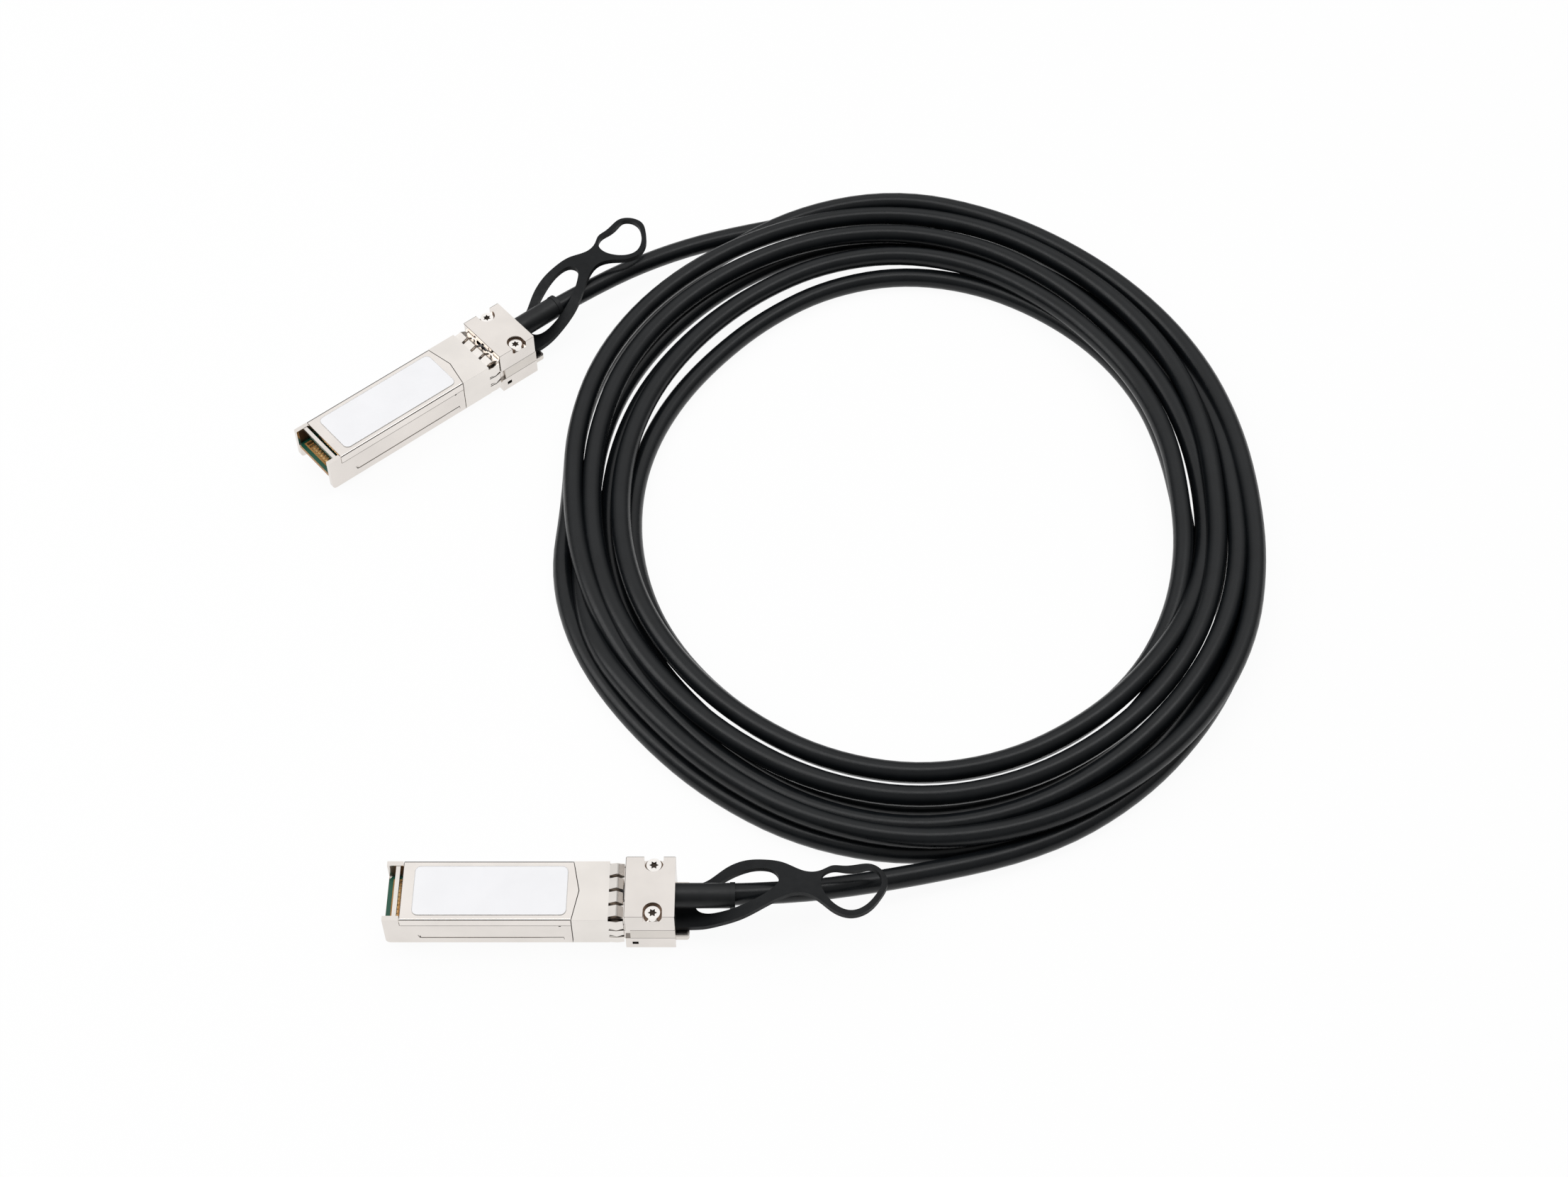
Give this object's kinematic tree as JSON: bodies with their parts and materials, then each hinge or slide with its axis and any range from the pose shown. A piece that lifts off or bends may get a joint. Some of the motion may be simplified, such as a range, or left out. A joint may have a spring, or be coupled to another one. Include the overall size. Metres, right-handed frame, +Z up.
{
  "type": "direct attach copper cable",
  "caption": "Black copper network cable in a loose flat coil, with a slim metal plug-in connector and a looped pull tab at each end.",
  "frame": {"origin": "middle of the underside of connector A's rear block, on the surface the cable lies on", "axes": "+X along connector A from its nose to its cable, +Z up, +Y to the left of connector A seen from its nose"},
  "size_m": [0.2149, 0.2079, 0.0122],
  "materials": {
    "shell_metal": "satin nickel plating on die-cast zinc",
    "cover_metal": "satin nickel-plated stamped sheet",
    "collar_metal": "bright stainless spring sheet",
    "slider_metal": "plain stainless sheet",
    "screw_metal": "bright nickel-plated",
    "card_green": "green solder mask",
    "pad_gold": "gold-plated",
    "chip_black": "matt moulded",
    "wire_insulation": "smooth",
    "clamp_metal": "formed copper alloy",
    "boot_black": "satin",
    "label_white": "plain matt film",
    "spring_metal": "plain",
    "tab_black": "matt",
    "cable_black": "satin"
  },
  "bodies": {
    "cable_assembly": {"a_base_shell": "shell_metal", "a_nose_cover": "cover_metal", "a_emi_collar": "collar_metal", "a_rear_cover": "shell_metal", "a_screws": "screw_metal", "a_paddle_card": "card_green", "a_contact_pads": "pad_gold", "a_memory_chip": "chip_black", "a_conductors": "wire_insulation", "a_cable_clamp": "clamp_metal", "a_cable_boot": "boot_black", "a_label": "label_white", "a_return_springs": "spring_metal", "b_base_shell": "shell_metal", "b_nose_cover": "cover_metal", "b_emi_collar": "collar_metal", "b_rear_cover": "shell_metal", "b_screws": "screw_metal", "b_paddle_card": "card_green", "b_contact_pads": "pad_gold", "b_memory_chip": "chip_black", "b_conductors": "wire_insulation", "b_cable_clamp": "clamp_metal", "b_cable_boot": "boot_black", "b_label": "label_white", "b_return_springs": "spring_metal", "cable_lead_a": "cable_black", "cable_lead_b": "cable_black", "cable_coil": "cable_black"},
    "a_release": {"a_release_slider": "slider_metal", "a_pull_tab": "tab_black"},
    "b_release": {"b_release_slider": "slider_metal", "b_pull_tab": "tab_black"}
  },
  "joints": [
    {"name": "a_release_slide", "type": "slide", "parent": "cable_assembly", "child": "a_release", "axis": [1, 0, 0], "range_m": [0, 0.0022], "stiffness_N_per_m": 600, "deforming": ["a_return_springs"]},
    {"name": "b_release_slide", "type": "slide", "parent": "cable_assembly", "child": "b_release", "axis": [0.7581, 0.6521, 0], "range_m": [0, 0.0022], "stiffness_N_per_m": 600, "deforming": ["b_return_springs"]}
  ]
}
